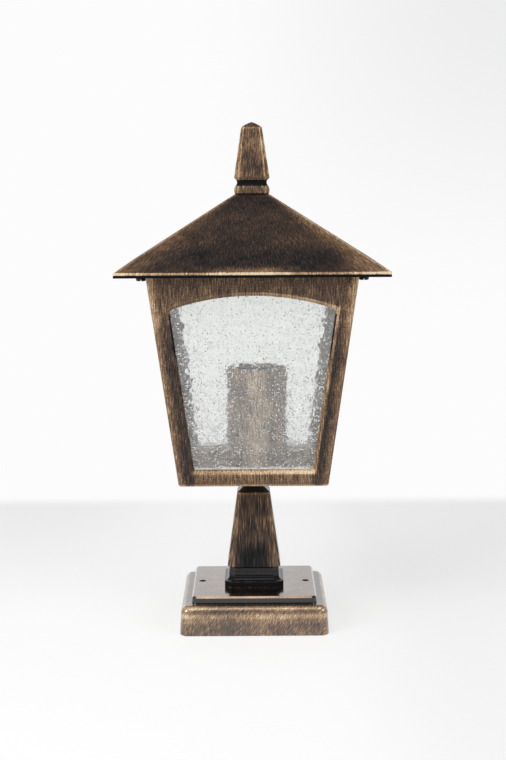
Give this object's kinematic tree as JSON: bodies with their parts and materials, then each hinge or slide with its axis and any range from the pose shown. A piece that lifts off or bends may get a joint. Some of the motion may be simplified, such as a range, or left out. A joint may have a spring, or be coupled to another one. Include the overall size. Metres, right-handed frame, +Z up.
{
  "type": "garden lantern",
  "caption": "Pedestal garden lantern: square plinth and tapered post carry a glazed tapered housing with arched windows under a lift-off pyramid roof with a finial.",
  "frame": {"origin": "middle of the plinth's underside, on the surface that the lantern stands on", "axes": "+Z up the post, -Y out of the front window, +X to the right seen from the front"},
  "size_m": [0.2042, 0.2042, 0.3996],
  "materials": {
    "antique_bronze": "cast aluminium, near-black coat rubbed with gold-brown",
    "seeded_glass": "rolled glass with fine seeds, slightly hazy",
    "blackened_screw": "blackened steel",
    "zinc_steel": "bright zinc plate",
    "brass": "turned and pressed brass",
    "seal_rubber": "matt black rubber",
    "black_phenolic": "moulded black phenolic",
    "porcelain": "white glazed porcelain",
    "white_polyamide": "natural moulded polyamide",
    "brown_sheath": "brown lead insulation",
    "blue_sheath": "blue lead insulation"
  },
  "bodies": {
    "lantern": {"base_plinth": "antique_bronze", "flange_plate": "antique_bronze", "post_column": "antique_bronze", "lantern_body": "antique_bronze", "lamp_sleeve": "antique_bronze", "glass_front": "seeded_glass", "glass_right": "seeded_glass", "glass_back": "seeded_glass", "glass_left": "seeded_glass", "tie_rod": "zinc_steel", "lower_washer": "zinc_steel", "lower_nut": "zinc_steel", "upper_washer": "zinc_steel", "upper_nut": "zinc_steel", "lampholder_locknut": "zinc_steel", "glass_clips": "zinc_steel", "glass_clip_screws": "zinc_steel", "earth_screw": "brass", "earth_washer": "brass", "roof_seal": "seal_rubber", "lampholder_cap": "black_phenolic", "lampholder_skirt": "black_phenolic", "lampholder_insert": "porcelain", "screw_shell": "brass", "shell_screw": "brass", "neutral_terminal": "brass", "line_terminal": "brass", "contact_spring": "zinc_steel", "terminal_block": "white_polyamide", "terminal_barrels": "brass", "terminal_screws": "zinc_steel", "terminal_block_screws": "zinc_steel", "line_lead": "brown_sheath", "neutral_lead": "blue_sheath"},
    "roof": {"roof": "antique_bronze", "finial": "antique_bronze", "finial_stud": "zinc_steel", "finial_washer": "zinc_steel", "finial_nut": "zinc_steel"},
    "roof_screw_left": {"roof_screw_left": "blackened_screw"},
    "roof_screw_right": {"roof_screw_right": "blackened_screw"},
    "centre_contact": {"centre_contact": "brass"}
  },
  "joints": [
    {"name": "roof_lift", "type": "slide", "parent": "lantern", "child": "roof", "axis": [0, 0, 1], "range_m": [0, 0.15]},
    {"name": "roof_screw_left_undo", "type": "slide", "parent": "lantern", "child": "roof_screw_left", "axis": [0, 0, -1], "range_m": [0, 0.0105]},
    {"name": "roof_screw_right_undo", "type": "slide", "parent": "lantern", "child": "roof_screw_right", "axis": [0, 0, -1], "range_m": [0, 0.0105]},
    {"name": "centre_contact_press", "type": "slide", "parent": "lantern", "child": "centre_contact", "axis": [0, 0, -1], "range_m": [0, 0.002], "stiffness_N_per_m": 1500, "deforming": ["contact_spring"]}
  ]
}
